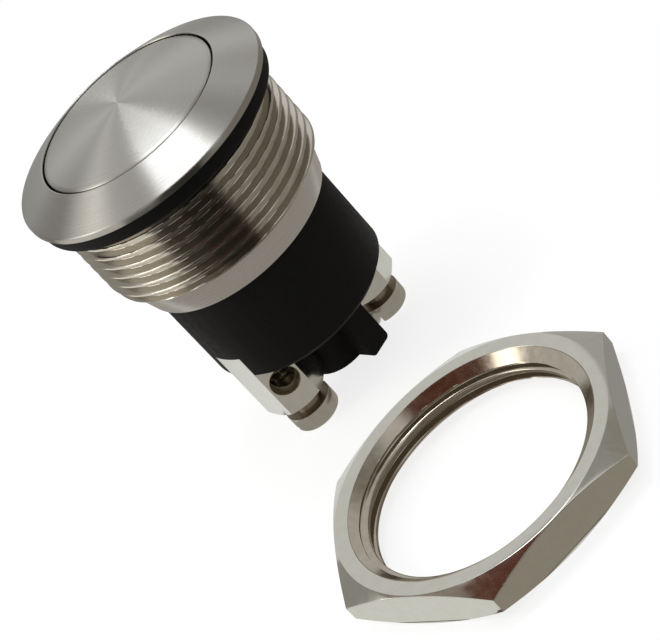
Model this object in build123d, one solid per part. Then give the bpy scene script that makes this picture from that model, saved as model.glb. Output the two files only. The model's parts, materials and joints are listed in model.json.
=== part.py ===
"""Panel pushbutton switch with a threaded metal barrel and two screw terminals.

Millimetres. The origin is on the switch axis at the face of the panel, which is
the underside of the rubber gasket. +Z points out of the panel, to the user's finger.
The terminals lie on a line turned by terminal_angle from +X. The mounting nut
is off the thread and lies flat, level with the ends of the screw heads.
"""
import os
from math import cos, radians, sin, sqrt, tan

from build123d import *

# Thread and barrel
thread_radius = 9.45
thread_length = 7.0
thread_end_chamfer = 0.35
undercut_depth = 0.3
lead_in_step = 0.6
lead_in_length = 2.4
rear_bore_wall = 1.7
rear_end_wall = 0.4
guide_length = 1.1
gland_width = 1.2
gland_depth = 1.2
recess_depth = 1.5

# Flange
flange_overhang = 1.25
flange_lip = 0.5
bevel_height = 1.42
mouth_wall = 1.8
mouth_edge_break = 0.08

# Gasket between flange and panel
gasket_width = 0.95
gasket_thickness = 1.3
gasket_edge_radius = 0.3
gasket_fit = 0.05

# Button and its stem
button_gap = 0.17
button_edge_drop = 0.05
button_edge_break = 0.12
dome_height = 1.05
button_travel = 2.0
skirt_wall = 1.0
skirt_height = 2.1
crown_thickness = 1.25
stem_radius = 2.9
stem_below_clip = 1.05
guide_clearance = 0.05
spigot_radius = 1.3
spigot_length = 1.6
stop_gap = 0.03

# Stem seal, its washer and the clip that holds the button in
seal_bore_clearance = 0.02
seal_gap = 0.04
washer_seat = 0.6
washer_thickness = 0.4
washer_fit = 0.05
clip_reach = 1.2
clip_thickness = 0.5
clip_groove_depth = 0.7
clip_groove_fit = 0.02
clip_mouth = 3.2

# Return spring round the stem
return_wire = 0.44
return_turns = 3.0

# Rear body
body_fit = 0.05
body_wall = 1.4
body_edge_chamfer = 0.5
lid_thickness = 1.0
lid_lip = 0.6
lid_lip_fit = 0.05
lid_bore_gap = 0.25
floor_thickness = 3.47
boss_gap = 0.075
boss_length = 5.57
tab_width = 2.15
tab_offset = 0.225
tab_reach = 1.8
tab_corner_radius = 0.35
notch_height = 2.4
pocket_clearance = 0.03
body_seal_wire = 0.6
body_seal_from_end = 1.3
body_seal_fit = 0.03
body_groove_side_fit = 0.05

# Terminals
terminal_angle = 26.5
post_inset = 0.125
post_flats = 4.75
post_below_body = 4.53
post_end_radius = 2.15
post_chamfer_angle = 30
post_spigot_radius = 0.8
post_spigot_fit = 0.02
wire_hole_radius = 1.2
wire_hole_above_end = 2.97
screw_radius = 1.2
screw_bore_clearance = 0.05
screw_bore_run_out = 1.36
screw_length = 2.1
screw_tip_chamfer = 0.25
screw_open_gap = 1.06
head_radius = 1.95
head_height = 1.6
head_round = 0.4
slot_width = 0.6
slot_depth = 0.75
slot_angle_left = 6.0
slot_angle_right = 53.0

# Contacts
carrier_overhang = 0.7
carrier_flange = 2.1
carrier_socket_fit = 0.02
carrier_socket_spare = 0.1
neck_radius = 1.1
neck_below_retainer = 0.4
contact_spring_length = 2.5
contact_wire = 0.34
contact_spring_gap = 0.9
contact_turns = 3.5
bridge_end = 1.0
bridge_side = 0.6
bridge_thickness = 0.5
strip_corner = 0.9
bridge_bore_clearance = 0.05
tip_radius = 0.9
tip_height = 0.45
tip_from_retainer = 0.4
tip_edge_break = 0.1
retainer_reach = 0.8
retainer_thickness = 0.4
retainer_grip = 0.25
retainer_mouth = 1.3
plate_thickness = 0.5
plate_end_gap = 0.2
closed_contact_gap = 0.05

# Mounting nut, off the thread
nut_rim = 1.8
nut_thickness = 3.1
nut_thread_depth = 0.45
nut_face_inset = 0.08
nut_corner_drop = 0.95
nut_entry_width = 1.0
nut_entry_depth = 0.8
nut_centre_x = 1.05
nut_centre_y = -24.38
nut_turn = 37.5

# Radii and offsets worked out from the sizes above
flange_radius = thread_radius + flange_overhang
gasket_radius = thread_radius + gasket_width
lead_in_top_radius = thread_radius - lead_in_step
rear_bore_radius = thread_radius - rear_bore_wall
lead_in_end_radius = rear_bore_radius + rear_end_wall
mouth_radius = thread_radius - mouth_wall
button_radius = mouth_radius - button_gap
skirt_bore_radius = button_radius - skirt_wall
return_mean_radius = (stem_radius + skirt_bore_radius) / 2
gland_radius = stem_radius + gland_width
washer_radius = gland_radius + washer_seat
clip_radius = stem_radius + clip_reach
clip_groove_radius = stem_radius - clip_groove_depth
lid_bore_radius = clip_radius + lid_bore_gap

body_radius = rear_bore_radius - body_fit
cavity_radius = body_radius - body_wall
terminal_offset = body_radius - post_inset - post_flats / 2
boss_radius = terminal_offset - post_flats / 2 - boss_gap
tab_end = boss_radius + tab_reach

carrier_radius = stem_radius + carrier_overhang
contact_mean_radius = neck_radius + contact_spring_gap
bridge_half_width = neck_radius + bridge_side
retainer_radius = neck_radius + retainer_reach
tip_offset = retainer_radius + tip_from_retainer + tip_radius
bridge_half_length = tip_offset + bridge_end
plate_outer_end = cavity_radius - plate_end_gap
plate_inner_end = tip_offset - tip_radius

nut_flats = 2 * (thread_radius + nut_rim)
nut_minor_radius = thread_radius - nut_thread_depth
nut_face_radius = nut_flats / 2 - nut_face_inset
nut_entry_radius = nut_minor_radius + nut_entry_width

# Heights worked out from the sizes above
flange_under = gasket_thickness
rim_top = flange_under + flange_lip
mouth_top = rim_top + bevel_height
recess_floor = -recess_depth
gland_top = recess_floor - guide_length
washer_top = gland_top - gland_depth
body_seat = washer_top - washer_thickness
thread_end = -thread_length
barrel_end = thread_end - lead_in_length

button_edge = mouth_top - button_edge_drop
button_apex = button_edge + dome_height
skirt_end = button_edge - skirt_height
crown_under = button_edge - crown_thickness
clip_top = body_seat - stop_gap
stem_end = clip_top - clip_thickness - stem_below_clip
spigot_end = stem_end - spigot_length

lid_under = body_seat - lid_thickness
carrier_under = stem_end - carrier_flange
bridge_top = carrier_under - contact_spring_length
bridge_under = bridge_top - bridge_thickness
retainer_under = bridge_under - retainer_thickness
neck_end = retainer_under - neck_below_retainer
fixed_tip_top = bridge_under - tip_height - button_travel - closed_contact_gap
plate_top = fixed_tip_top - tip_height
body_floor = plate_top - plate_thickness

body_end = body_floor - floor_thickness
boss_end = body_end - boss_length
notch_top = body_end + notch_height
body_seal_z = barrel_end + body_seal_from_end

post_end = body_end - post_below_body
wire_hole_z = post_end + wire_hole_above_end
screw_bore_top = wire_hole_z + screw_bore_run_out
head_top = post_end - screw_open_gap
stand_z = head_top - head_height
nut_under = stand_z
nut_top = nut_under + nut_thickness

# Overruns for cutting tools and for solids that are joined
big = 4 * flange_radius
overrun = 1.0
join = 0.1

along = Vector(cos(radians(terminal_angle)), sin(radians(terminal_angle)), 0)


def turned(points):
    """A solid of revolution about Z from (radius, height) points."""
    outline = Polyline([(r, 0, z) for r, z in points], close=True)
    return revolve(make_face(outline), Axis.Z)


def disc(radius, low, high, bore=0.0):
    """A plain disc or, with a bore, a ring between two heights."""
    body = Pos(0, 0, (low + high) / 2) * Cylinder(radius, high - low)
    if bore > 0:
        body -= Pos(0, 0, (low + high) / 2) * Cylinder(bore, high - low + overrun)
    return body


def across_corners(flats):
    """The corner radius of a hexagon from its width across flats."""
    return flats / sqrt(3)


def hexagon(flats, low, high, turn=0.0):
    """A hexagonal bar on the Z axis, with a flat facing +X before the turn."""
    outline = RegularPolygon(flats / 2, 6, major_radius=False, rotation=30 + turn)
    return Pos(0, 0, low) * extrude(outline, high - low)


def coil(mean_radius, wire, turns, low, high):
    """An open-ended compression spring between two heights."""
    rise = high - low - wire
    path = Pos(0, 0, low + wire / 2) * Helix(rise / turns, rise, mean_radius)
    section = Plane(origin=path @ 0, z_dir=path % 0) * Circle(wire / 2)
    return sweep(section, path)


def terminal(side):
    """The place of a terminal's axis: side is -1 for left and +1 for right."""
    return Pos(side * terminal_offset * along.X, side * terminal_offset * along.Y, 0)


def barrel():
    """Flange, thread core and lead-in turned from one bar, with its inner web."""
    return turned([
        (mouth_radius, recess_floor),
        (mouth_radius, mouth_top - mouth_edge_break),
        (mouth_radius + mouth_edge_break, mouth_top),
        (flange_radius, rim_top),
        (flange_radius, flange_under),
        (thread_radius - undercut_depth, flange_under),
        (thread_radius - undercut_depth, 0),
        (thread_radius, 0),
        (thread_radius, thread_end + thread_end_chamfer),
        (thread_radius - thread_end_chamfer, thread_end),
        (lead_in_top_radius, thread_end),
        (lead_in_end_radius, barrel_end),
        (rear_bore_radius, barrel_end),
        (rear_bore_radius, body_seat),
        (washer_radius + washer_fit, body_seat),
        (washer_radius + washer_fit, washer_top),
        (gland_radius, washer_top),
        (gland_radius, gland_top),
        (stem_radius + guide_clearance, gland_top),
        (stem_radius + guide_clearance, recess_floor),
    ])


def flange_gasket():
    """Flat rubber ring with rounded outer edges."""
    ring = disc(gasket_radius, 0, gasket_thickness, thread_radius + gasket_fit)
    rims = ring.edges().filter_by(GeomType.CIRCLE).sort_by(SortBy.RADIUS)[-2:]
    return fillet(rims, gasket_edge_radius)


def button_cap():
    """Domed cap, skirt, clip groove and stem, turned from one bar."""
    rim = button_radius - button_edge_break
    sphere = (rim ** 2 + dome_height ** 2) / (2 * dome_height)
    half_way = button_apex - sphere + sqrt(sphere ** 2 - (rim / 2) ** 2)
    dome = ThreePointArc((0, 0, button_apex), (rim / 2, 0, half_way), (rim, 0, button_edge))
    groove_top = clip_top + clip_groove_fit
    groove_end = clip_top - clip_thickness - clip_groove_fit
    outline = Polyline([(r, 0, z) for r, z in [
        (rim, button_edge),
        (button_radius, button_edge - button_edge_break),
        (button_radius, skirt_end),
        (skirt_bore_radius, skirt_end),
        (skirt_bore_radius, crown_under),
        (stem_radius, crown_under),
        (stem_radius, groove_top),
        (clip_groove_radius, groove_top),
        (clip_groove_radius, groove_end),
        (stem_radius, groove_end),
        (stem_radius, stem_end),
        (spigot_radius, stem_end),
        (spigot_radius, spigot_end),
        (0, spigot_end),
        (0, button_apex),
    ]])
    return revolve(make_face(dome + outline), Axis.Z)


def stem_seal():
    """Rubber ring in the gland, round the stem."""
    inner = stem_radius + seal_bore_clearance
    outer = gland_radius - seal_gap
    wire = (outer - inner) / 2
    return Pos(0, 0, washer_top + wire) * Torus((inner + outer) / 2, wire)


def seal_washer():
    """Washer that closes the gland."""
    return disc(washer_radius, body_seat, washer_top, stem_radius + guide_clearance)


def open_ring(outer, inner, mouth, low, high):
    """A snap ring: a flat ring with a parallel-sided mouth towards +X."""
    ring = disc(outer, low, high, inner)
    ring -= Pos(big / 2, 0, (low + high) / 2) * Box(big, mouth, high - low + overrun)
    return ring


def retaining_clip():
    """Snap ring in the stem's groove: the button's upper stop."""
    inner = clip_groove_radius + clip_groove_fit
    return open_ring(clip_radius, inner, clip_mouth, clip_top - clip_thickness, clip_top)


def return_spring():
    """Spring that lifts the cap from the floor of the recess."""
    return coil(return_mean_radius, return_wire, return_turns, recess_floor, crown_under)


def housing_lid():
    """Lid of the rear body, with a lip that centres it in the cavity."""
    lip_radius = cavity_radius - lid_lip_fit
    return turned([
        (lid_bore_radius, body_seat),
        (body_radius, body_seat),
        (body_radius, lid_under),
        (lip_radius, lid_under),
        (lip_radius, lid_under - lid_lip),
        (lid_bore_radius, lid_under - lid_lip),
    ])


def post_pocket(side):
    """Hexagonal pocket for one post, open through the wall as a notch."""
    flats = post_flats + 2 * pocket_clearance
    low = body_end - overrun
    slot = Box(big, across_corners(flats), notch_top - low,
               align=(Align.MIN, Align.CENTER, Align.MIN))
    pocket = hexagon(flats, low, notch_top)
    pocket += Pos(flats / 2 - join, 0, low) * slot
    outward = terminal_angle if side > 0 else terminal_angle + 180
    return terminal(side) * Rot(0, 0, outward) * pocket


def housing():
    """Moulded rear body: cup, hexagonal pockets, centre boss and front tab."""
    body = turned([
        (0, body_end),
        (body_radius - body_edge_chamfer, body_end),
        (body_radius, body_end + body_edge_chamfer),
        (body_radius, lid_under),
        (cavity_radius, lid_under),
        (cavity_radius, body_floor),
        (0, body_floor),
    ])
    groove_half = body_seal_wire / 2 + body_groove_side_fit
    groove_floor = rear_bore_radius - 2 * body_seal_fit - body_seal_wire
    body -= disc(big, body_seal_z - groove_half, body_seal_z + groove_half, groove_floor)
    body += disc(boss_radius, boss_end, body_end + join)
    tab = Box(tab_width, tab_end, body_end - boss_end + join,
              align=(Align.CENTER, Align.MAX, Align.MIN))
    tab = fillet(tab.edges().filter_by(Axis.Y).group_by(Axis.Z)[0], tab_corner_radius)
    body += Rot(0, 0, terminal_angle) * Pos(tab_offset, 0, boss_end) * tab
    for side in (-1, 1):
        body -= post_pocket(side)
        spigot_hole = Cylinder(post_spigot_radius + post_spigot_fit, big)
        body -= terminal(side) * spigot_hole
    return body


def housing_seal():
    """Rubber ring between rear body and barrel."""
    major = rear_bore_radius - body_seal_fit - body_seal_wire / 2
    return Pos(0, 0, body_seal_z) * Torus(major, body_seal_wire / 2)


def terminal_post(side):
    """Hexagonal post, cross-drilled for the wire and bored for the clamp screw."""
    corner = across_corners(post_flats)
    cone_top = post_end + (corner - post_end_radius) * tan(radians(post_chamfer_angle))
    post = hexagon(post_flats, post_end, notch_top)
    post &= turned([
        (0, post_end),
        (post_end_radius, post_end),
        (corner, cone_top),
        (corner, notch_top),
        (0, notch_top),
    ])
    post += disc(post_spigot_radius, notch_top - join, plate_top)
    post -= disc(screw_radius + screw_bore_clearance, post_end - overrun, screw_bore_top)
    hole = Rot(90, 0, 0) * Cylinder(wire_hole_radius, big)
    post -= Pos(0, 0, wire_hole_z) * Rot(0, 0, -30) * hole
    return terminal(side) * Rot(0, 0, terminal_angle) * post


def terminal_screw(side, slot_angle):
    """Slotted cheese-head clamp screw below its post, its shank plain, pointing up."""
    head = disc(head_radius, stand_z, head_top)
    rim = head.edges().filter_by(GeomType.CIRCLE).group_by(Axis.Z)[0]
    head = fillet(rim, head_round)
    screw = head + disc(screw_radius, head_top - join, head_top + screw_length)
    tip = screw.edges().filter_by(GeomType.CIRCLE).group_by(Axis.Z)[-1]
    screw = chamfer(tip, screw_tip_chamfer)
    slot = Pos(0, 0, stand_z) * Box(big, slot_width, 2 * slot_depth)
    screw -= Rot(0, 0, slot_angle) * slot
    return terminal(side) * screw


def contact_carrier():
    """Moulded carrier on the stem's spigot, with the neck that guides the bridge."""
    groove_radius = neck_radius - retainer_grip
    flange = disc(carrier_radius, carrier_under, stem_end)
    socket_end = spigot_end - carrier_socket_spare
    flange -= disc(spigot_radius + carrier_socket_fit, socket_end, stem_end + overrun)
    neck = turned([
        (0, carrier_under + join),
        (neck_radius, carrier_under + join),
        (neck_radius, bridge_under),
        (groove_radius, bridge_under),
        (groove_radius, retainer_under),
        (neck_radius, retainer_under),
        (neck_radius, neck_end),
        (0, neck_end),
    ])
    return flange + neck


def contact_spring():
    """Spring that presses the bridge down on its retainer."""
    return coil(contact_mean_radius, contact_wire, contact_turns, bridge_top, carrier_under)


def strip(low_x, high_x, low, high, bore_x, bore):
    """A flat contact strip with rounded corners along +X and one round hole."""
    width = 2 * bridge_half_width
    outline = RectangleRounded(high_x - low_x, width, strip_corner)
    outline = Pos((low_x + high_x) / 2, 0, 0) * outline
    plate = Pos(0, 0, low) * extrude(outline, high - low)
    plate -= Pos(bore_x, 0, (low + high) / 2) * Cylinder(bore, high - low + overrun)
    return plate


def contact_bridge():
    """Moving strip that joins the two fixed contacts."""
    bore = neck_radius + bridge_bore_clearance
    plate = strip(-bridge_half_length, bridge_half_length, bridge_under, bridge_top, 0, bore)
    return Rot(0, 0, terminal_angle) * plate


def contact_tip(side, low, high, faces_up):
    """Silver button riveted to a strip, the edge of its free face broken."""
    tip = disc(tip_radius, low, high)
    level = -1 if faces_up else 0
    rim = tip.edges().filter_by(GeomType.CIRCLE).group_by(Axis.Z)[level]
    tip = chamfer(rim, tip_edge_break)
    return Rot(0, 0, terminal_angle) * Pos(side * tip_offset, 0, 0) * tip


def bridge_retainer():
    """Small snap ring that holds the bridge on the neck."""
    inner = neck_radius - retainer_grip + clip_groove_fit
    ring = open_ring(retainer_radius, inner, retainer_mouth, retainer_under, bridge_under)
    return Rot(0, 0, terminal_angle + 90) * ring


def fixed_contact(side):
    """Plate on the body's floor, on the post's spigot and under the fixed tip."""
    plate = strip(plate_inner_end, plate_outer_end, body_floor, plate_top,
                  terminal_offset, post_spigot_radius + post_spigot_fit)
    turn = terminal_angle if side > 0 else terminal_angle + 180
    return Rot(0, 0, turn) * plate


def mounting_nut():
    """Thin hexagonal nut, corners chamfered on both faces, thread core plain."""
    nut = hexagon(nut_flats, nut_under, nut_top, nut_turn)
    corner = across_corners(nut_flats)
    nut &= turned([
        (0, nut_under),
        (nut_face_radius, nut_under),
        (corner, nut_under + nut_corner_drop),
        (corner, nut_top - nut_corner_drop),
        (nut_face_radius, nut_top),
        (0, nut_top),
    ])
    nut -= turned([
        (0, nut_under),
        (nut_entry_radius, nut_under),
        (nut_minor_radius, nut_under + nut_entry_depth),
        (nut_minor_radius, nut_top - nut_entry_depth),
        (nut_entry_radius, nut_top),
        (0, nut_top),
    ])
    return Pos(nut_centre_x, nut_centre_y, 0) * nut


def pieces():
    """Every node's name and solid."""
    made = {
        "barrel": barrel(),
        "flange_gasket": flange_gasket(),
        "button_cap": button_cap(),
        "return_spring": return_spring(),
        "stem_seal": stem_seal(),
        "seal_washer": seal_washer(),
        "retaining_clip": retaining_clip(),
        "contact_carrier": contact_carrier(),
        "contact_spring": contact_spring(),
        "contact_bridge": contact_bridge(),
        "bridge_retainer": bridge_retainer(),
        "housing_lid": housing_lid(),
        "housing": housing(),
        "housing_seal": housing_seal(),
        "mounting_nut": mounting_nut(),
    }
    for name, side, slot_angle in (("left", -1, slot_angle_left),
                                   ("right", 1, slot_angle_right)):
        made["terminal_post_" + name] = terminal_post(side)
        made["terminal_screw_" + name] = terminal_screw(side, slot_angle)
        made["fixed_contact_" + name] = fixed_contact(side)
        made["fixed_tip_" + name] = contact_tip(side, plate_top, fixed_tip_top, True)
        made["bridge_tip_" + name] = contact_tip(side, bridge_under - tip_height,
                                                 bridge_under, False)
    return made


os.makedirs("parts", exist_ok=True)
for node, solid in pieces().items():
    solid.label = node
    export_step(solid, "parts/" + node + ".step")
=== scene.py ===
"""Looks of a panel pushbutton switch, in metres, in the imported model's frame.

The turned pieces, the nut and the return spring are meshes made here, with the real
helical threads. The posts, the clamp screws and the moulded body keep their solids, with
broken edges. What the metal mirrors in the photograph stands round the switch as cards
that only reflections see.
"""
import json
from math import cos, pi, radians, sin, sqrt, tau

import bmesh
import bpy
from mathutils import Matrix, Vector


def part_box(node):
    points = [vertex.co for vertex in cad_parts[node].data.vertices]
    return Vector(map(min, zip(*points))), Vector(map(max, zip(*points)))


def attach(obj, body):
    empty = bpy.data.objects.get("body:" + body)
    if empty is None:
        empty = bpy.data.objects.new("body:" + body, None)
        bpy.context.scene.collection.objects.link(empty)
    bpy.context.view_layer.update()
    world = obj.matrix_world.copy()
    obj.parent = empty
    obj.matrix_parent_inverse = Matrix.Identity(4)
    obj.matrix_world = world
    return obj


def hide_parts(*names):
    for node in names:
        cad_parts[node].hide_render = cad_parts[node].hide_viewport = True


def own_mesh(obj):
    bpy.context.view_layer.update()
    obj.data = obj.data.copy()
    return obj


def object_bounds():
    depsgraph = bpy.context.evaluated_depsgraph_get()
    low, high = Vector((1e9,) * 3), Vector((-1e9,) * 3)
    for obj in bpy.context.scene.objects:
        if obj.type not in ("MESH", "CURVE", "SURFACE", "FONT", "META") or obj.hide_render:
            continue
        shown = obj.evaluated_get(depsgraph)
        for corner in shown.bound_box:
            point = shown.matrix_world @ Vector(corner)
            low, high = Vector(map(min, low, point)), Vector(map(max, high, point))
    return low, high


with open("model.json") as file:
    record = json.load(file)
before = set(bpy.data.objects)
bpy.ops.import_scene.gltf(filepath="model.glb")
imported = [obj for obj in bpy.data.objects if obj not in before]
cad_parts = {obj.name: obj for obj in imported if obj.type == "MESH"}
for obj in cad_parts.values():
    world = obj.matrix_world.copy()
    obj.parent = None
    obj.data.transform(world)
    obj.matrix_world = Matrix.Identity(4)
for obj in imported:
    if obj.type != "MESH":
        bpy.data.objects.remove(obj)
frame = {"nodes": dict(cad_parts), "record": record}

cad_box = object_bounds()
nodes = frame["nodes"]
MM = 0.001

# The pitch in millimetres. A form is its depth, crest and root in pitches, then how much of
# a flank's ends is eased
THREAD_PITCH = 1.0
OUTER_THREAD = (0.54, 0.14, 0.22, 0.16)
INNER_THREAD = (0.50, 0.20, 0.14, 0.40)

# How fine the meshes are
ROWS_PER_PITCH = 32
BARREL_COLUMNS = 288
CAP_COLUMNS = 256
RING_COLUMNS = 192
DOME_STEPS = 24
SPRING_STEPS_PER_TURN = 48
SPRING_SIDES = 12
ARC_STEPS = 32
NUT_SIDE_STEPS = 40

# Columns of the nut's mesh close to a corner, in degrees from it
NUT_CORNER_STEPS = [0, 0.15, 0.3, 0.6, 1.0]

# A rounding takes at most this share of a side, and points this close, in millimetres, are one.
# Corners this near the axis, or with less room than this, aren't rounded
SIDE_SHARE = 0.45
WELD_REACH = 0.0005
AXIS_REACH = 1e-6
LEAST_ROUNDING = 1e-4

# Angles between faces, in degrees, from which an edge is sharp
SHARP = 35
TURNED_SHARP = 40
NUT_SHARP = 28
SOLID_SHARP = 25

# Sizes that the solids' boxes don't give, in millimetres
THREAD_RADIUS = 9.45
LEAD_IN_LENGTH = 2.4
LEAD_IN_STEP = 0.6
REAR_END_WALL = 0.4
UNDERCUT = 0.3
END_CHAMFER = 0.35
FLANGE_LIP = 0.5
BUTTON_GAP = 0.17
BODY_FIT = 0.05
WASHER_FIT = 0.05
SEAL_GAP = 0.04
GLAND_DEPTH = 1.2
GUIDE_LENGTH = 1.1
STEM_RADIUS = 2.9
GUIDE_CLEARANCE = 0.05
DOME_HEIGHT = 1.05
RIM_BREAK = 0.12
RIM_ROUND = 0.05
MOUTH_BREAK = 0.08
SKIRT_WALL = 1.0
SKIRT_HEIGHT = 2.1
CLIP_GROOVE = 0.7
CLIP_FIT = 0.02
SPIGOT_RADIUS = 1.3
SPIGOT_LENGTH = 1.6
GASKET_FIT = 0.05
GASKET_BULGE = 0.03
GASKET_ROUND = 0.3
NUT_RIM = 1.8
NUT_THREAD_DEPTH = 0.45
NUT_FACE_INSET = 0.08
NUT_CORNER_DROP = 0.95
NUT_ENTRY_WIDTH = 1.0
NUT_ENTRY_DEPTH = 0.8
WIRE_HOLE_RADIUS = 1.2
WIRE_HOLE_HEIGHT = -19.36
SCREW_HEAD_HEIGHT = 1.6
SCREW_PITCH = 0.45
SPRING_WIRE = 0.44
SPRING_TURNS = 3

# How the nut and the wire holes are turned, in degrees
NUT_TURN = 37.5
WIRE_HOLE_TURN = 86.5

# Edge breaks, in millimetres
FINE_EDGE = 0.04
FLANGE_EDGE = 0.09
POST_EDGE = 0.07
SCREW_EDGE = 0.05
SOFT_EDGE = 0.08


def span(node):
    """Lowest and highest corner of a solid, in millimetres."""
    low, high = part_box(node)
    return [c / MM for c in low], [c / MM for c in high]


def radius_of(node):
    """Half the width of a round solid, in millimetres."""
    low, high = span(node)
    return (high[0] - low[0]) / 2


def centre_of(node):
    """The middle of a solid's box, seen from above, in millimetres."""
    low, high = span(node)
    return (low[0] + high[0]) / 2, (low[1] + high[1]) / 2


# Meshes

def softened(points, radius, steps=3):
    """A closed outline of (r, z) points, rounded. A third value is that corner's own radius."""
    out = []
    count = len(points)
    for i in range(count):
        before, here, after = (Vector(points[(i + k) % count][:2]) for k in (-1, 0, 1))
        into, away = before - here, after - here
        wanted = points[i][2] if len(points[i]) > 2 else radius
        reach = min(wanted, into.length * SIDE_SHARE, away.length * SIDE_SHARE)
        if here.x < AXIS_REACH or reach < LEAST_ROUNDING:
            out.append(tuple(here))
            continue
        start = here + into.normalized() * reach
        end = here + away.normalized() * reach
        for k in range(steps + 1):
            t = k / steps
            p = start * (1 - t) ** 2 + here * 2 * t * (1 - t) + end * t ** 2
            out.append(tuple(p))
    return out


def add_mesh(name, verts, faces, sharp=SHARP):
    """A smooth-shaded mesh object, in metres, from millimetre points."""
    mesh = bpy.data.meshes.new(name)
    mesh.from_pydata([[c * MM for c in v] for v in verts], [], faces)
    edited = bmesh.new()
    edited.from_mesh(mesh)
    bmesh.ops.remove_doubles(edited, verts=edited.verts, dist=WELD_REACH * MM)
    bmesh.ops.recalc_face_normals(edited, faces=edited.faces)
    edited.to_mesh(mesh)
    edited.free()
    mesh.polygons.foreach_set("use_smooth", [True] * len(mesh.polygons))
    mesh.set_sharp_from_angle(angle=radians(sharp))
    obj = bpy.data.objects.new(name, mesh)
    bpy.context.collection.objects.link(obj)
    flat = obj.modifiers.new("flat faces stay flat", "WEIGHTED_NORMAL")
    flat.weight = 100
    flat.keep_sharp = True
    return obj


def around(name, columns, outline_at, sharp, centre=(0.0, 0.0)):
    """Sweeps a closed outline round a vertical axis. outline_at(angle) gives (r, z) points."""
    outlines = [outline_at(angle) for angle in columns]
    count, rows = len(columns), len(outlines[0])
    verts = [(centre[0] + r * cos(angle), centre[1] + r * sin(angle), z)
             for angle, outline in zip(columns, outlines) for r, z in outline]
    faces = []
    for i in range(count):
        j = (i + 1) % count
        for k in range(rows):
            m = (k + 1) % rows
            faces.append((i * rows + k, j * rows + k, j * rows + m, i * rows + m))
    return add_mesh(name, verts, faces, sharp)


def even(count):
    """That many angles, evenly spaced round the circle."""
    return [tau * i / count for i in range(count)]


def lathe(name, outline, columns, sharp):
    """A turned piece on the switch's axis."""
    return around(name, even(columns), lambda angle: outline, sharp)


# Threads

def tooth(phase, form):
    """Depth of a groove below its crest at a phase of 0 to 1 along one pitch."""
    depth, crest, root, ease = form
    x = abs((phase % 1.0) - 0.5) * 2
    flank = min(max((x - crest) / (1 - crest - root), 0), 1)
    if flank < ease:
        flank = flank ** 2 / (2 * ease)
    elif flank > 1 - ease:
        flank = 1 - ease - (1 - flank) ** 2 / (2 * ease)
    else:
        flank = flank - ease / 2
    return THREAD_PITCH * depth * flank / (1 - ease)


def thread_rows(low, high):
    """Heights of the mesh rows of a thread, from low to high."""
    count = max(2, round((high - low) / THREAD_PITCH * ROWS_PER_PITCH))
    return [low + (high - low) * i / count for i in range(count + 1)]


def barrel_piece():
    """Flange, real outer thread and lead-in, with the bores of the solid."""
    low, high = span("barrel")
    flange_r = radius_of("barrel")
    gasket_z = span("flange_gasket")[1][2]
    thread_r = THREAD_RADIUS
    thread_low = low[2] + LEAD_IN_LENGTH
    neck_r = thread_r - UNDERCUT
    mouth_r = radius_of("button_cap") + BUTTON_GAP
    rim_z = gasket_z + FLANGE_LIP
    bore_r = radius_of("housing") + BODY_FIT
    seat_z = span("housing_lid")[1][2]
    washer_r = radius_of("seal_washer") + WASHER_FIT
    washer_z = span("seal_washer")[1][2]
    gland_r = radius_of("stem_seal") + SEAL_GAP
    gland_z = washer_z + GLAND_DEPTH
    guide_r = STEM_RADIUS + GUIDE_CLEARANCE
    floor_z = gland_z + GUIDE_LENGTH
    head = softened([
        (guide_r, floor_z), (mouth_r, floor_z), (mouth_r, high[2] - MOUTH_BREAK),
        (mouth_r + MOUTH_BREAK, high[2]), (flange_r, rim_z, FLANGE_EDGE),
        (flange_r, gasket_z), (neck_r, gasket_z), (neck_r, 0),
    ], FINE_EDGE)
    tail = softened([
        (thread_r - LEAD_IN_STEP, thread_low), (bore_r + REAR_END_WALL, low[2]), (bore_r, low[2]),
        (bore_r, seat_z), (washer_r, seat_z), (washer_r, washer_z), (gland_r, washer_z),
        (gland_r, gland_z), (guide_r, gland_z),
    ], FINE_EDGE)
    rows = thread_rows(thread_low, 0)[::-1]

    def outline(angle):
        thread = []
        for z in rows:
            depth = tooth(z / THREAD_PITCH - angle / tau, OUTER_THREAD)
            crest = thread_r - END_CHAMFER * (1 - min((z - thread_low) / END_CHAMFER, 1))
            thread.append((min(thread_r - depth, crest), z))
        return head + thread + tail

    return around("barrel_turned", even(BARREL_COLUMNS), outline, TURNED_SHARP)


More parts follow.
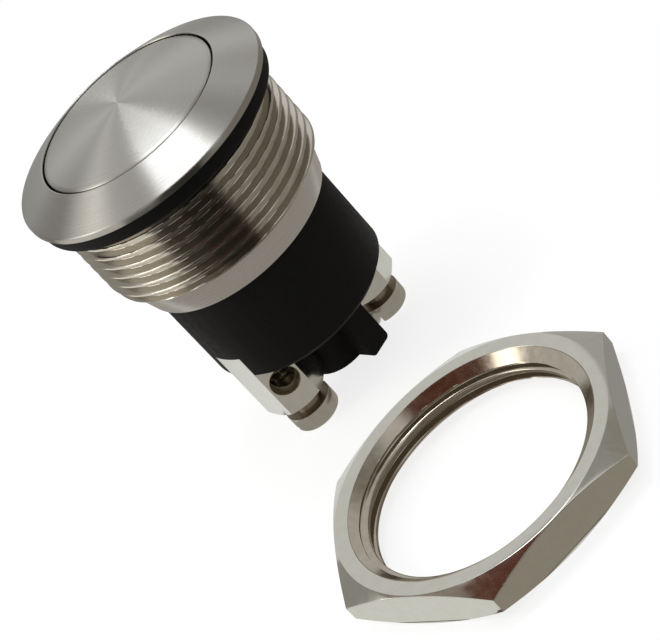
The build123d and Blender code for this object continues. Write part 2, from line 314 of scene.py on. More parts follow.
def cap_piece():
    """The domed button with its skirt, clip groove and stem."""
    low, high = span("button_cap")
    cap_r = radius_of("button_cap")
    rim_z = high[2] - DOME_HEIGHT
    rim_r = cap_r - RIM_BREAK
    sphere = (rim_r ** 2 + DOME_HEIGHT ** 2) / (2 * DOME_HEIGHT)
    dome = []
    for i in range(DOME_STEPS + 1):
        r = (cap_r - RIM_ROUND) * i / DOME_STEPS
        dome.append((r, high[2] - sphere + sqrt(sphere ** 2 - r ** 2)))
    edge_z = dome[-1][1]
    clip_low, clip_high = span("retaining_clip")
    groove_r = STEM_RADIUS - CLIP_GROOVE
    crown_z = span("return_spring")[1][2]
    inner_r = cap_r - SKIRT_WALL
    rest = softened([
        (cap_r - RIM_ROUND / 3, edge_z - RIM_ROUND / 3), (cap_r, edge_z - RIM_ROUND),
        (cap_r, rim_z - SKIRT_HEIGHT), (inner_r, rim_z - SKIRT_HEIGHT),
        (inner_r, crown_z), (STEM_RADIUS, crown_z), (STEM_RADIUS, clip_high[2] + CLIP_FIT),
        (groove_r, clip_high[2] + CLIP_FIT), (groove_r, clip_low[2] - CLIP_FIT),
        (STEM_RADIUS, clip_low[2] - CLIP_FIT), (STEM_RADIUS, low[2] + SPIGOT_LENGTH),
        (SPIGOT_RADIUS, low[2] + SPIGOT_LENGTH), (SPIGOT_RADIUS, low[2]), (0, low[2]),
    ], FINE_EDGE / 2)
    return lathe("button_turned", dome + rest, CAP_COLUMNS, TURNED_SHARP)


def spring_piece():
    """The button's return spring: an open helix of round wire."""
    low, high = span("return_spring")
    wire_r = SPRING_WIRE / 2
    mean_r = radius_of("return_spring") - wire_r
    rise = high[2] - low[2] - SPRING_WIRE
    steps, sides = SPRING_STEPS_PER_TURN * SPRING_TURNS, SPRING_SIDES
    verts, faces = [], []
    for i in range(steps + 1):
        turn = tau * SPRING_TURNS * i / steps
        out = Vector((cos(turn), sin(turn), 0))
        along = Vector((-sin(turn), cos(turn), rise / (tau * SPRING_TURNS * mean_r))).normalized()
        up = out.cross(along)
        middle = out * mean_r + Vector((0, 0, low[2] + wire_r + rise * i / steps))
        for side in even(sides):
            verts.append(middle + (out * cos(side) + up * sin(side)) * wire_r)
    for i in range(steps):
        for k in range(sides):
            m = (k + 1) % sides
            faces.append((i * sides + k, i * sides + m, (i + 1) * sides + m, (i + 1) * sides + k))
    faces.append(tuple(range(sides)))
    faces.append(tuple(range(steps * sides, (steps + 1) * sides)))
    return add_mesh("return_coil", verts, faces)


def squash_spring(spring):
    """Gives the spring its own copy of its mesh; its length stays as made."""
    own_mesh(spring)


def gasket_piece():
    """The rubber ring under the flange, its outer edges rounded."""
    low, high = span("flange_gasket")
    outer = radius_of("flange_gasket")
    inner = THREAD_RADIUS + GASKET_FIT
    outline = softened([
        (inner, low[2]), (outer - GASKET_BULGE, low[2]), (outer, (low[2] + high[2]) / 2),
        (outer - GASKET_BULGE, high[2]), (inner, high[2]),
    ], GASKET_ROUND, steps=5)
    return lathe("gasket_ring", outline, RING_COLUMNS, SHARP)


def nut_piece():
    """The loose hexagonal nut, chamfered on both faces, with its real inner thread."""
    low, high = span("mounting_nut")
    centre = centre_of("mounting_nut")
    half_flats = THREAD_RADIUS + NUT_RIM
    corner = half_flats / cos(pi / 6)
    face_r = half_flats - NUT_FACE_INSET
    minor_r = THREAD_RADIUS - NUT_THREAD_DEPTH
    entry_r = minor_r + NUT_ENTRY_WIDTH
    slope = NUT_CORNER_DROP / (corner - face_r)
    top, under = high[2], low[2]
    entry_slope = NUT_ENTRY_WIDTH / NUT_ENTRY_DEPTH
    rows = thread_rows(under, top)

    def outline(angle):
        turn = (angle - radians(NUT_TURN) + pi / 6) % (pi / 3) - pi / 6
        side = half_flats / cos(turn)
        drop = (side - face_r) * slope
        thread = []
        for z in rows:
            groove_r = minor_r + tooth(z / THREAD_PITCH - angle / tau, INNER_THREAD)
            cone_r = entry_r - min(top - z, z - under) * entry_slope
            thread.append((max(groove_r, cone_r), z))
        outside = softened([
            (entry_r + FINE_EDGE, top), (face_r, top), (side, top - drop),
            (side, under + drop), (face_r, under), (entry_r + FINE_EDGE, under),
        ], FINE_EDGE)
        return thread + outside

    first = NUT_CORNER_STEPS[-1]
    steps = NUT_CORNER_STEPS[:-1]
    steps += [first + (60 - 2 * first) * k / NUT_SIDE_STEPS for k in range(NUT_SIDE_STEPS + 1)]
    steps += [60 - step for step in NUT_CORNER_STEPS[-2:0:-1]]
    columns = []
    for side in range(6):
        start = radians(NUT_TURN + 30 + 60 * side)
        columns += [start + radians(step) for step in steps]
    return around("nut_threaded", columns, outline, NUT_SHARP, centre)


# Materials

PATCH_SCALE = 260
PATCH_SHARE = 0.35
PLATE_GRAIN = 1400
MOULDED_GLOSS = 0.10

# Depth of the grain, in metres, and the range that most of a noise lies in
METAL_GRAIN_DEPTH = 0.00002
MOULDED_GRAIN_DEPTH = 0.00003
NOISE_LOW = 0.3
NOISE_HIGH = 0.7

# How far a painted shade reaches past its place and fades, in millimetres, and its share on a
# crest
SHADE_MARGIN = 0.02
SHADE_EDGE = 0.04
CREST_SHADE = 0.8


def new_material(name):
    """A node material, its node tree and its shader."""
    material = bpy.data.materials.new(name)
    material.use_nodes = True
    tree = material.node_tree
    shader = tree.nodes["Principled BSDF"]
    return material, tree, shader


def add_node(tree, kind, **values):
    """A node with its properties or inputs set by name."""
    node = tree.nodes.new(kind)
    for key, value in values.items():
        if key in node.inputs:
            node.inputs[key].default_value = value
        else:
            setattr(node, key, value)
    return node


def ramp(tree, source, stops):
    """A colour ramp over a value; stops are (position, colour)."""
    node = tree.nodes.new("ShaderNodeValToRGB")
    elements = node.color_ramp.elements
    while len(elements) < len(stops):
        elements.new(0.5)
    for element, (position, colour) in zip(elements, stops):
        element.position = position
        element.color = (*colour, 1)
    tree.links.new(source, node.inputs["Fac"])
    return node.outputs["Color"]


def map_range(tree, source, low, high, to_low, to_high):
    """A value mapped from one range to another."""
    node = tree.nodes.new("ShaderNodeMapRange")
    ends = {"From Min": low, "From Max": high, "To Min": to_low, "To Max": to_high}
    for key, value in ends.items():
        node.inputs[key].default_value = value
    tree.links.new(source, node.inputs["Value"])
    return node.outputs["Result"]


def spread_of(tree, noise, value, low_share, high_share):
    """A value that follows the noise, between two shares of itself."""
    return map_range(tree, noise, NOISE_LOW, NOISE_HIGH, value * low_share, value * high_share)


def even_noise(tree, scale, detail=3.0):
    """Noise in object space."""
    coords = tree.nodes.new("ShaderNodeTexCoord")
    noise = add_node(tree, "ShaderNodeTexNoise", Scale=scale, Detail=detail)
    tree.links.new(coords.outputs["Object"], noise.inputs["Vector"])
    return noise.outputs["Fac"]


def ring_noise(tree, scale):
    """Turning marks: noise that changes with height and with the distance from the axis."""
    coords = tree.nodes.new("ShaderNodeTexCoord")
    split = tree.nodes.new("ShaderNodeSeparateXYZ")
    flat = tree.nodes.new("ShaderNodeCombineXYZ")
    length = add_node(tree, "ShaderNodeVectorMath", operation="LENGTH")
    joined = tree.nodes.new("ShaderNodeCombineXYZ")
    noise = add_node(tree, "ShaderNodeTexNoise", Scale=scale, Detail=2.0)
    links = tree.links
    links.new(coords.outputs["Object"], split.inputs[0])
    links.new(split.outputs["X"], flat.inputs["X"])
    links.new(split.outputs["Y"], flat.inputs["Y"])
    links.new(flat.outputs[0], length.inputs[0])
    links.new(length.outputs["Value"], joined.inputs["X"])
    links.new(split.outputs["Z"], joined.inputs["Y"])
    links.new(joined.outputs[0], noise.inputs["Vector"])
    return noise.outputs["Fac"]


def add_bump(tree, shader, height, strength, distance):
    """A bump on the shader's normal; the distance is in metres."""
    bump = add_node(tree, "ShaderNodeBump", Strength=strength, Distance=distance)
    tree.links.new(height, bump.inputs["Height"])
    tree.links.new(bump.outputs["Normal"], shader.inputs["Normal"])


def turned_metal(name, dark, light, roughness, anisotropic, grain, bump):
    """Lathe-turned metal: rings of fine grain, with the sheen running across them."""
    material, tree, shader = new_material(name)
    rings = ring_noise(tree, grain)
    patches = even_noise(tree, PATCH_SCALE)
    mix = add_node(tree, "ShaderNodeMath", operation="ADD")
    scaled = add_node(tree, "ShaderNodeMath", operation="MULTIPLY")
    scaled.inputs[1].default_value = PATCH_SHARE
    tree.links.new(patches, scaled.inputs[0])
    tree.links.new(rings, mix.inputs[0])
    tree.links.new(scaled.outputs[0], mix.inputs[1])
    colour = ramp(tree, mix.outputs[0], [(0.45, dark), (0.9, light)])
    tree.links.new(colour, shader.inputs["Base Color"])
    tree.links.new(spread_of(tree, rings, roughness, 0.85, 1.15), shader.inputs["Roughness"])
    shader.inputs["Metallic"].default_value = 1
    if anisotropic:
        shader.inputs["Anisotropic"].default_value = anisotropic
        shader.inputs["Anisotropic Rotation"].default_value = 0.25
        tangent = add_node(tree, "ShaderNodeTangent", direction_type="RADIAL", axis="Z")
        tree.links.new(tangent.outputs["Tangent"], shader.inputs["Tangent"])
    add_bump(tree, shader, rings, bump, METAL_GRAIN_DEPTH)
    return material


def mixed(tree, kind, cover, under, over):
    """One value or colour laid over another where the cover is 1."""
    node = add_node(tree, "ShaderNodeMix", data_type=kind)
    sockets = [item for item in node.inputs if item.enabled]
    for socket, source in zip(sockets, (cover, under, over)):
        tree.links.new(source, socket)
    return [item for item in node.outputs if item.enabled][0]


def in_wire_holes(tree):
    """1 on the walls of the two cross-drilled wire holes, where painted shade darkens the
    plating.
    """
    coords = tree.nodes.new("ShaderNodeTexCoord")
    turn = radians(WIRE_HOLE_TURN)
    cover = None
    for side in ("left", "right"):
        centre = Vector((*centre_of("terminal_post_" + side), WIRE_HOLE_HEIGHT)) * MM
        shift = add_node(tree, "ShaderNodeVectorMath", operation="SUBTRACT")
        shift.inputs[1].default_value = centre
        cross = add_node(tree, "ShaderNodeVectorMath", operation="CROSS_PRODUCT")
        cross.inputs[1].default_value = (cos(turn), sin(turn), 0)
        length = add_node(tree, "ShaderNodeVectorMath", operation="LENGTH")
        tree.links.new(coords.outputs["Object"], shift.inputs[0])
        tree.links.new(shift.outputs["Vector"], cross.inputs[0])
        tree.links.new(cross.outputs["Vector"], length.inputs[0])
        edge = WIRE_HOLE_RADIUS + SHADE_MARGIN
        inside = map_range(tree, length.outputs["Value"], (edge + SHADE_EDGE) * MM,
                           edge * MM, 0.0, 1.0)
        if cover:
            both = add_node(tree, "ShaderNodeMath", operation="MAXIMUM")
            tree.links.new(cover, both.inputs[0])
            tree.links.new(inside, both.inputs[1])
            inside = both.outputs[0]
        cover = inside
    return cover


def on_screw_shank(tree):
    """1 on the clamp screws' shanks, less on the crests of their thread: where painted shade
    goes.
    """
    coords = tree.nodes.new("ShaderNodeTexCoord")
    split = tree.nodes.new("ShaderNodeSeparateXYZ")
    tree.links.new(coords.outputs["Object"], split.inputs[0])
    edge = span("terminal_screw_left")[0][2] + SCREW_HEAD_HEIGHT - SHADE_MARGIN
    above = map_range(tree, split.outputs["Z"], (edge - SHADE_EDGE) * MM, edge * MM, 0.0, 1.0)
    turns = add_node(tree, "ShaderNodeMath", operation="MULTIPLY")
    turns.inputs[1].default_value = tau / (SCREW_PITCH * MM)
    wave = add_node(tree, "ShaderNodeMath", operation="SINE")
    tree.links.new(split.outputs["Z"], turns.inputs[0])
    tree.links.new(turns.outputs[0], wave.inputs[0])
    depth = map_range(tree, wave.outputs[0], -1.0, 1.0, 1.0, CREST_SHADE)
    both = add_node(tree, "ShaderNodeMath", operation="MULTIPLY")
    tree.links.new(above, both.inputs[0])
    tree.links.new(depth, both.inputs[1])
    return both.outputs[0]


def plain_metal(name, dark, light, roughness, scale=900, bump=0.05, painted_shade=None):
    """Plated metal with faint mottling. The last argument is painted shade: a place, its two
    colours and a roughness, laid over the plating there.
    """
    material, tree, shader = new_material(name)
    noise = even_noise(tree, scale)
    colour = ramp(tree, noise, [(0.35, dark), (0.65, light)])
    spread = spread_of(tree, noise, roughness, 0.8, 1.2)
    # Painted shade: a darker colour and roughness mixed in over the given place
    if painted_shade:
        place, shade_dark, shade_light, shade_roughness = painted_shade
        cover = place(tree)
        shade_colour = ramp(tree, noise, [(0.35, shade_dark), (0.65, shade_light)])
        colour = mixed(tree, "RGBA", cover, colour, shade_colour)
        shade_spread = spread_of(tree, noise, shade_roughness, 0.8, 1.2)
        spread = mixed(tree, "FLOAT", cover, spread, shade_spread)
    tree.links.new(colour, shader.inputs["Base Color"])
    tree.links.new(spread, shader.inputs["Roughness"])
    shader.inputs["Metallic"].default_value = 1
    add_bump(tree, shader, noise, bump, METAL_GRAIN_DEPTH)
    return material


def moulded(name, dark, light, roughness, scale, bump):
    """Moulded plastic or rubber: fine grain in colour, gloss and height."""
    material, tree, shader = new_material(name)
    noise = even_noise(tree, scale, detail=5)
    tree.links.new(ramp(tree, noise, [(0.3, dark), (0.7, light)]), shader.inputs["Base Color"])
    tree.links.new(spread_of(tree, noise, roughness, 0.85, 1.1), shader.inputs["Roughness"])
    shader.inputs["Specular IOR Level"].default_value = MOULDED_GLOSS
    add_bump(tree, shader, noise, bump, MOULDED_GRAIN_DEPTH)
    return material


def grey(value, warm=0.0):
    """A slightly warm or cool grey."""
    return (value * (1 + warm), value, value * (1 - warm))


steel = turned_metal("turned_stainless", (0.335, 0.325, 0.300), (0.370, 0.358, 0.332),
                     roughness=0.30, anisotropic=0.95, grain=30000, bump=0.035)
nickel = turned_metal("nickel_thread", (0.46, 0.43, 0.38), (0.51, 0.48, 0.425),
                      roughness=0.18, anisotropic=0.0, grain=22000, bump=0.012)
lead_in_nickel = turned_metal("nickel_lead_in", (0.495, 0.48, 0.455), (0.52, 0.507, 0.482),
                              roughness=0.26, anisotropic=0.0, grain=22000, bump=0.012)
nut_nickel = plain_metal("nut_nickel", (0.52, 0.51, 0.465), (0.54, 0.53, 0.485),
                         roughness=0.15, scale=PLATE_GRAIN, bump=0.01)
# Painted shade: the nut's bore and entry cone take a darker, browner copy of the nut's plating
nut_bore_shade = plain_metal("nut_bore_shade", (0.36, 0.32, 0.265), (0.41, 0.365, 0.31),
                       roughness=0.16, scale=PLATE_GRAIN, bump=0.006)
# Painted shade: the wire holes' walls are darker and browner than the posts' plating
hole_painted_shade = (in_wire_holes, (0.44, 0.39, 0.27), (0.52, 0.47, 0.34), 0.50)
post_plate = plain_metal("post_plate", (0.64, 0.635, 0.60), (0.67, 0.665, 0.63),
                         roughness=0.15, scale=PLATE_GRAIN, bump=0.01, painted_shade=hole_painted_shade)
# Painted shade: the shanks between head and post are dark brown, darkest in the thread's grooves
shank_painted_shade = (on_screw_shank, (0.26, 0.215, 0.155), (0.36, 0.30, 0.23), 0.35)
screw_steel = plain_metal("screw_steel", (0.50, 0.49, 0.45), (0.54, 0.53, 0.485),
                          roughness=0.22, scale=PLATE_GRAIN, bump=0.02, painted_shade=shank_painted_shade)
spring_steel = plain_metal("spring_steel", grey(0.42), grey(0.52), roughness=0.30)
contact_brass = plain_metal("contact_brass", (0.60, 0.44, 0.20), (0.78, 0.60, 0.32),
                            roughness=0.30)
contact_silver = plain_metal("contact_silver", grey(0.70), grey(0.84), roughness=0.32)
black_plastic = moulded("black_plastic", grey(0.006, 0.02), grey(0.010, 0.02),
                        roughness=0.6, scale=2500, bump=0.15)
pale_plastic = moulded("pale_plastic", grey(0.60, 0.03), grey(0.70, 0.03),
                       roughness=0.45, scale=2500, bump=0.1)
black_rubber = moulded("black_rubber", grey(0.007, 0.05), grey(0.012, 0.05),
                       roughness=0.62, scale=4000, bump=0.2)

FINISH = {
    "nickel_plate": nickel,
    "stainless_button": steel,
    "nut_plate": nut_nickel,
    "terminal_plate": post_plate,
    "screw_steel": screw_steel,
    "spring_steel": spring_steel,
    "contact_brass": contact_brass,
    "contact_silver": contact_silver,
    "housing_plastic": black_plastic,
    "carrier_plastic": pale_plastic,
    "gasket_rubber": black_rubber,
    "seal_rubber": black_rubber,
}


def dress_nodes():
    """Gives every solid the finish of its record slot."""
    for part in frame["record"]["subparts"]:
        obj = nodes[part["node"]]
        obj.data.materials.clear()
        obj.data.materials.append(FINISH[part["material_slot"]])


def break_edges(node, width):
    """Welds a solid's mesh and rounds its sharp edges."""
    obj = nodes[node]
    weld = obj.modifiers.new("weld", "WELD")
    weld.merge_threshold = WELD_REACH * MM
    bevel = obj.modifiers.new("edges", "BEVEL")
    bevel.width = width * MM
    bevel.segments = 2
    bevel.limit_method = "ANGLE"
    bevel.angle_limit = radians(SOLID_SHARP)
    bevel.harden_normals = True


def dress(obj, material, slot, body, *replaced):
    """Puts a made piece in place of its solids."""
    obj.data.materials.append(material)
    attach(obj, body)
    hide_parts(*replaced)


dress_nodes()
barrel = barrel_piece()
dress(barrel, nickel, "nickel_plate", "switch_body", "barrel")
barrel.data.materials.append(steel)
barrel.data.materials.append(lead_in_nickel)
head_start = span("flange_gasket")[1][2]
lead_in_start = span("barrel")[0][2] + LEAD_IN_LENGTH
for face in barrel.data.polygons:
    height = face.center.z / MM
    if height > head_start - FINE_EDGE / 4:
        face.material_index = 1
    elif height < lead_in_start:
        face.material_index = 2
dress(cap_piece(), steel, "stainless_button", "button", "button_cap")
spring = spring_piece()
dress(spring, spring_steel, "spring_steel", "button", "return_spring")
squash_spring(spring)
dress(gasket_piece(), black_rubber, "gasket_rubber", "switch_body", "flange_gasket")
nut = nut_piece()
dress(nut, nut_nickel, "nut_plate", "switch_body", "mounting_nut")
nut.data.materials.append(nut_bore_shade)
nut_centre = centre_of("mounting_nut")
mouth_radius = THREAD_RADIUS - NUT_THREAD_DEPTH + NUT_ENTRY_WIDTH
# Faces inside the bore's mouth take the painted shade
for face in nut.data.polygons:
    reach = (face.center.xy / MM - Vector(nut_centre)).length
    if reach < mouth_radius + FINE_EDGE / 2:
        face.material_index = 1
break_edges("housing", SOFT_EDGE)
for side in ("left", "right"):
    break_edges("terminal_post_" + side, POST_EDGE)
    break_edges("terminal_screw_" + side, SCREW_EDGE)


# Floor

FLOOR_TONE = 0.40
FLOOR_LIFT = 0.78
FLOOR_REACH = 600


def backdrop_rays(tree):
    """1 for rays that show the backdrop: camera, glossy and transmission rays."""
    path = tree.nodes.new("ShaderNodeLightPath")
    total = path.outputs["Is Camera Ray"]
    for name in ("Is Glossy Ray", "Is Transmission Ray"):
        either = add_node(tree, "ShaderNodeMath", operation="MAXIMUM")
        tree.links.new(total, either.inputs[0])
        tree.links.new(path.outputs[name], either.inputs[1])
        total = either.outputs[0]
    return total


def flat_mesh(name, corners):
    """A flat face, in metres, from millimetre corners."""
    mesh = bpy.data.meshes.new(name)
    mesh.from_pydata([[c * MM for c in corner] for corner in corners], [], [range(len(corners))])
    obj = bpy.data.objects.new(name, mesh)
    bpy.context.collection.objects.link(obj)
    return obj


def add_floor(level):
    """A plain pale floor that the camera and the metal see as white, with the object's shadow."""
    half = FLOOR_REACH
    obj = flat_mesh("floor", [(-half, -half, level), (half, -half, level),
                              (half, half, level), (-half, half, level)])
    material, tree, shader = new_material("pale_floor")
    shader.inputs["Base Color"].default_value = (FLOOR_TONE, FLOOR_TONE, FLOOR_TONE, 1)
    shader.inputs["Roughness"].default_value = 0.9
    shader.inputs["Specular IOR Level"].default_value = 0.0
    shader.inputs["Emission Color"].default_value = (1, 1, 1, 1)
    lift = add_node(tree, "ShaderNodeMath", operation="MULTIPLY")
    lift.inputs[1].default_value = FLOOR_LIFT
    tree.links.new(backdrop_rays(tree), lift.inputs[0])
    tree.links.new(lift.outputs[0], shader.inputs["Emission Strength"])
    obj.data.materials.append(material)


floor_level = cad_box[0].z / MM
add_floor(floor_level)


# Light

WORLD_LEVEL = 0.45


def add_softbox(name, place, target, size, radiance, colour):
    """A soft rectangular lamp aimed at a point, in millimetres, with a given radiance."""
    lamp = bpy.data.lights.new(name, "AREA")
    lamp.shape = "RECTANGLE"
    lamp.size, lamp.size_y = size[0] * MM, size[1] * MM
    lamp.energy = radiance * pi * lamp.size * lamp.size_y
    lamp.color = colour
    obj = bpy.data.objects.new(name, lamp)
    obj.location = Vector(place) * MM
    aim = Vector(target) - Vector(place)
    obj.rotation_mode = "QUATERNION"
    obj.rotation_quaternion = aim.to_track_quat("-Z", "Y")
    obj.visible_camera = False
    bpy.context.collection.objects.link(obj)


def add_card(name, corners, colour, fades=(), one_sided=False):
    """A card that only reflections see. Each fade is an axis, a clear and a full place on it."""
    obj = flat_mesh(name, corners)
    material = bpy.data.materials.new(name)
    material.use_nodes = True
    tree = material.node_tree
    tree.nodes.clear()
    output = tree.nodes.new("ShaderNodeOutputMaterial")
    clear = tree.nodes.new("ShaderNodeBsdfTransparent")
    card = add_node(tree, "ShaderNodeEmission", Color=(*colour, 1), Strength=1.0)
    mix = add_node(tree, "ShaderNodeMixShader", Fac=1.0)
    coords = tree.nodes.new("ShaderNodeTexCoord")
    split = tree.nodes.new("ShaderNodeSeparateXYZ")
    tree.links.new(coords.outputs["Object"], split.inputs[0])
    covers = [map_range(tree, split.outputs[axis], clear_at * MM, full_at * MM, 0.0, 1.0)
              for axis, clear_at, full_at in fades]
    if one_sided:
        side = tree.nodes.new("ShaderNodeNewGeometry")
        covers.append(map_range(tree, side.outputs["Backfacing"], 0.0, 1.0, 1.0, 0.0))
    cover = None
    for other in covers:
        if cover:
            both = add_node(tree, "ShaderNodeMath", operation="MULTIPLY")
            tree.links.new(cover, both.inputs[0])
            tree.links.new(other, both.inputs[1])
            other = both.outputs[0]
        cover = other
    if cover:
        tree.links.new(cover, mix.inputs[0])
    tree.links.new(clear.outputs[0], mix.inputs[1])
    tree.links.new(card.outputs[0], mix.inputs[2])
    tree.links.new(mix.outputs[0], output.inputs["Surface"])
    obj.data.materials.append(material)
    obj.visible_camera = False
    obj.visible_diffuse = False
    obj.visible_shadow = False
    obj.visible_transmission = False


def arc(centre, radius, start, end, z):
    """Points on a level arc between two angles in degrees."""
    turns = [radians(start + (end - start) * i / ARC_STEPS) for i in range(ARC_STEPS + 1)]
    return [(centre[0] + radius * cos(t), centre[1] + radius * sin(t), z) for t in turns]


def disc_card(name, centre, radius, z, colour):
    """A level round card."""
    add_card(name, arc(centre, radius, 0, 360, z)[:-1], colour)


def sector_card(name, angles, radii, z, colour):
    """A level card round the switch's axis, between two angles and two radii."""
    outer = arc((0, 0), radii[1], angles[0], angles[1], z)
    inner = arc((0, 0), radii[0], angles[0], angles[1], z)
    add_card(name, outer + inner[::-1], colour)


def strip_card(name, start, end, half_width, z, colour):
    """A level strip from one point to another."""
    along = (Vector(end) - Vector(start)).normalized() * half_width
    side = Vector((-along.y, along.x))
    corners = [Vector(start) - side, Vector(end) - side, Vector(end) + side, Vector(start) + side]
    add_card(name, [(c.x, c.y, z) for c in corners], colour)


def level_card(name, x, y, z, colour, fades=()):
    """A level card between two places on X and two on Y."""
    corners = [(x[0], y[0], z), (x[1], y[0], z), (x[1], y[1], z), (x[0], y[1], z)]
    add_card(name, corners, colour, fades)


def wall_card(name, start, end, low, high, colour, fades=(), one_sided=False):
    """An upright card between two points. Its front has the start on the left."""
    corners = [(*start, low), (*end, low), (*end, high), (*start, high)]
    add_card(name, corners, colour, fades, one_sided)


def set_world():
    """Even pale surroundings, white to the camera and in reflections."""
    world = bpy.data.worlds.new("studio")
    bpy.context.scene.world = world
    world.use_nodes = True
    tree = world.node_tree
    even_light = tree.nodes["Background"]
    output = tree.nodes["World Output"]
    white = add_node(tree, "ShaderNodeBackground", Color=(1, 1, 1, 1), Strength=1.0)
    mix = tree.nodes.new("ShaderNodeMixShader")
    even_light.inputs["Color"].default_value = (1, 1, 1, 1)
    even_light.inputs["Strength"].default_value = WORLD_LEVEL
    tree.links.new(backdrop_rays(tree), mix.inputs[0])
    tree.links.new(even_light.outputs[0], mix.inputs[1])
    tree.links.new(white.outputs[0], mix.inputs[2])
    tree.links.new(mix.outputs[0], output.inputs["Surface"])


set_world()
add_softbox("top_box", place=(3, 9, 70), target=(3, 9, 0), size=(29, 36), radiance=5.6,
            colour=(0.90, 0.94, 1.0))
add_softbox("left_box", place=(-78, 3, 50), target=(-8, 0, 0), size=(36, 60), radiance=3.2,
            colour=(1.0, 0.95, 0.86))

# Heights of the level cards, in millimetres
NEAR_FLOOR = floor_level + 0.2
OVER_FLOOR = floor_level + 0.3
OVERHEAD = 70

# Colours that more than one card has
WARM_GREY = (0.45, 0.42, 0.375)
DARK = (0.035, 0.03, 0.022)
DUSK = (0.085, 0.077, 0.062)
BACK_GREY = (0.40, 0.39, 0.36)

# Round the switch, on the floor: what the thread and the lead-in mirror
INNER_REACH = 38
disc_card("near_floor_card", (0, 0), INNER_REACH, NEAR_FLOOR, WARM_GREY)
sector_card("left_floor_card", (146, 214), (INNER_REACH, 85), NEAR_FLOOR, (1.25, 1.2, 1.1))
sector_card("left_back_floor_card", (92, 146), (INNER_REACH, 160), NEAR_FLOOR, (0.30, 0.29, 0.27))
sector_card("front_floor_card", (240, 285), (INNER_REACH, 170), NEAR_FLOOR, DARK)
sector_card("front_left_floor_card", (214, 240), (INNER_REACH, 170), NEAR_FLOOR, DUSK)
sector_card("front_near_card", (214, 285), (22, INNER_REACH), NEAR_FLOOR + 0.05,
            (0.12, 0.11, 0.09))
sector_card("right_floor_card", (285, 452), (INNER_REACH, 160), NEAR_FLOOR, (0.34, 0.32, 0.28))

# In front of the switch, facing it, so that thread and posts don't mirror the nut
THREAD_FRONT = -13
POST_FRONT = -10.5
wall_card("thread_front_card", (2, THREAD_FRONT), (-4.7, THREAD_FRONT), -11, 0, DARK,
          one_sided=True)
wall_card("thread_left_card", (-4.7, THREAD_FRONT), (-8.8, THREAD_FRONT), -11, 0, DUSK,
          one_sided=True)
wall_card("post_front_card", (18, POST_FRONT), (-16, POST_FRONT), floor_level, -8.5, WARM_GREY,
          one_sided=True)

# Beside the posts and under the body
# A painted shadow: the body's shade on the floor, seen dark in reflections under it
level_card("body_shadow_card", (-1.2, 1.2), (-6.5, 8), OVER_FLOOR, (0.15, 0.13, 0.10))
strip_card("left_post_card", (-9.2, -1.6), (-25.5, 10.7), 1.8, OVER_FLOOR, (0.90, 0.90, 0.87))
strip_card("right_post_card", (10.2, 2.5), (27, 9.7), 1.8, OVER_FLOOR, (0.74, 0.74, 0.70))

# Round the nut: one for each side that the photograph shows, its bore and its chamfers
NUT_BACK = -10.6
level_card("nut_left_card", (-16, -5), (-40, -23), OVER_FLOOR, (1.0, 1.0, 0.96))
level_card("nut_front_card", (-4, 12), (-42, -34), OVER_FLOOR, (0.42, 0.38, 0.32))
level_card("nut_right_card", (9.6, 20), (-34, -14), OVER_FLOOR, (0.40, 0.385, 0.365))
disc_card("nut_inner_card", nut_centre, 8.8, floor_level + 0.5, (0.30, 0.27, 0.22))
level_card("nut_overhead_card", (-80, 18), (-80, -12), OVERHEAD, (0.15, 0.055, 0.035),
           [("Y", -12, -20), ("X", 18, 8)])
level_card("nut_right_overhead_card", (30, 95), (-40, 22), OVERHEAD, (0.43, 0.42, 0.395))
add_card("nut_left_guard_card", [(-24.8, -28.6, -12.9), (-15.6, -15.5, -12.9),
                                 (-7.2, -21.5, -3.5), (-16.4, -34.5, -3.5)],
         (0.30, 0.25, 0.21), one_sided=True)
wall_card("nut_back_card", (-16, NUT_BACK), (13.5, NUT_BACK), floor_level, 0,
          (0.86, 0.86, 0.84), one_sided=True)
wall_card("nut_right_back_card", (13.5, NUT_BACK), (60, NUT_BACK), floor_level, 10,
          (0.57, 0.56, 0.53), one_sided=True)

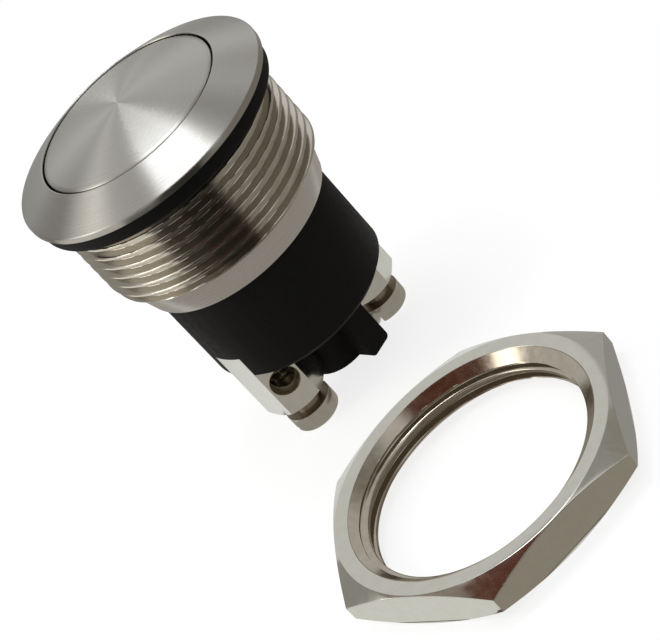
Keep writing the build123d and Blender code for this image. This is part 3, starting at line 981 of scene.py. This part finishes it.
# Walls of the room
wall_card("camera_side_card", (-70, -150), (70, -150), floor_level, 115, (0.045, 0.04, 0.035),
          [("Z", 115, 60)])
wall_card("back_low_card", (-90, 40), (90, 40), floor_level, 14, BACK_GREY, [("Z", 14, 6)])
wall_card("left_back_card", (-120, 42), (-14, 42), floor_level, 60, BACK_GREY,
          [("X", -14, -34), ("Z", 60, 40)])
wall_card("right_wall_card", (45, 40), (45, -60), floor_level, 45, (0.38, 0.36, 0.32),
          [("Z", 45, 30)])


# Camera

# Millimetres and radians, fitted to the photograph
REACH = 191.33
ELEVATION = 0.4434
RIM_HEIGHT = 1.8
YAW = 0.0035
PITCH = -0.102
ROLL = -0.7438

# Pixels of the photograph, then the sensor's width in millimetres
FOCAL_PIXELS = 2669.3
IMAGE_WIDTH = 660
SENSOR = 36.0

# Metres
NEAR_CLIP = 0.01
FAR_CLIP = 10


def add_camera():
    """The photograph's view: aimed at the rim's centre, then turned, tipped and rolled."""
    place = Vector((0, -REACH * cos(ELEVATION), REACH * sin(ELEVATION) + RIM_HEIGHT)) * MM
    ahead = Vector((0, cos(ELEVATION), -sin(ELEVATION)))
    right = Vector((1, 0, 0))
    up = right.cross(ahead)
    ahead, right = cos(YAW) * ahead + sin(YAW) * right, cos(YAW) * right - sin(YAW) * ahead
    ahead, up = cos(PITCH) * ahead + sin(PITCH) * up, cos(PITCH) * up - sin(PITCH) * ahead
    right, up = cos(ROLL) * right + sin(ROLL) * up, cos(ROLL) * up - sin(ROLL) * right
    data = bpy.data.cameras.new("camera")
    data.sensor_fit = "HORIZONTAL"
    data.sensor_width = SENSOR
    data.lens = FOCAL_PIXELS * SENSOR / IMAGE_WIDTH
    data.clip_start = NEAR_CLIP
    data.clip_end = FAR_CLIP
    obj = bpy.data.objects.new("camera", data)
    turn = Matrix((right, up, -ahead)).transposed()
    obj.matrix_world = Matrix.Translation(place) @ turn.to_4x4()
    bpy.context.collection.objects.link(obj)
    bpy.context.scene.camera = obj


add_camera()
bpy.context.scene.view_settings.view_transform = "Standard"
